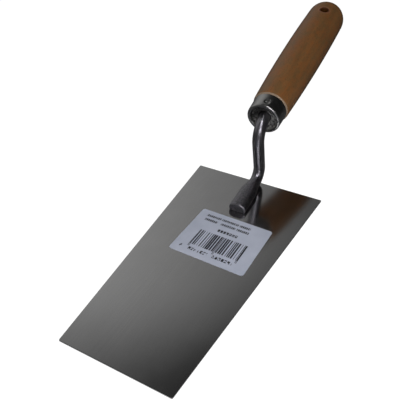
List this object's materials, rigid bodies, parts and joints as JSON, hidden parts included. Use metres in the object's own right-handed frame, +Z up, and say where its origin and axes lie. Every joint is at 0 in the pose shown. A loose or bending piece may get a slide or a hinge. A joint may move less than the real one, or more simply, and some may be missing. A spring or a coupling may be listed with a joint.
{
  "type": "plastering trowel",
  "caption": "Hand trowel with a flat tapering steel blade, a bent round rod neck, a pressed ferrule and a turned wooden handle, for spreading and smoothing mortar.",
  "frame": {"origin": "middle of the blade's underside (the working face), halfway from heel to toe", "axes": "+X from the heel of the blade to its toe, +Z up from the working face to the handle's side"},
  "size_m": [0.3204, 0.0978, 0.1026],
  "materials": {
    "blade_steel": "rolled stainless sheet, satin",
    "rod_steel": "polished bright rod",
    "ferrule_steel": "bright nickel plate",
    "beech": "turned and clear lacquered",
    "paper": "matt self-adhesive label"
  },
  "bodies": {
    "root": {"blade": "blade_steel", "neck": "rod_steel", "weld_nugget_rear": "rod_steel", "weld_nugget_front": "rod_steel", "ferrule": "ferrule_steel", "handle": "beech", "label": "paper"}
  },
  "joints": []
}
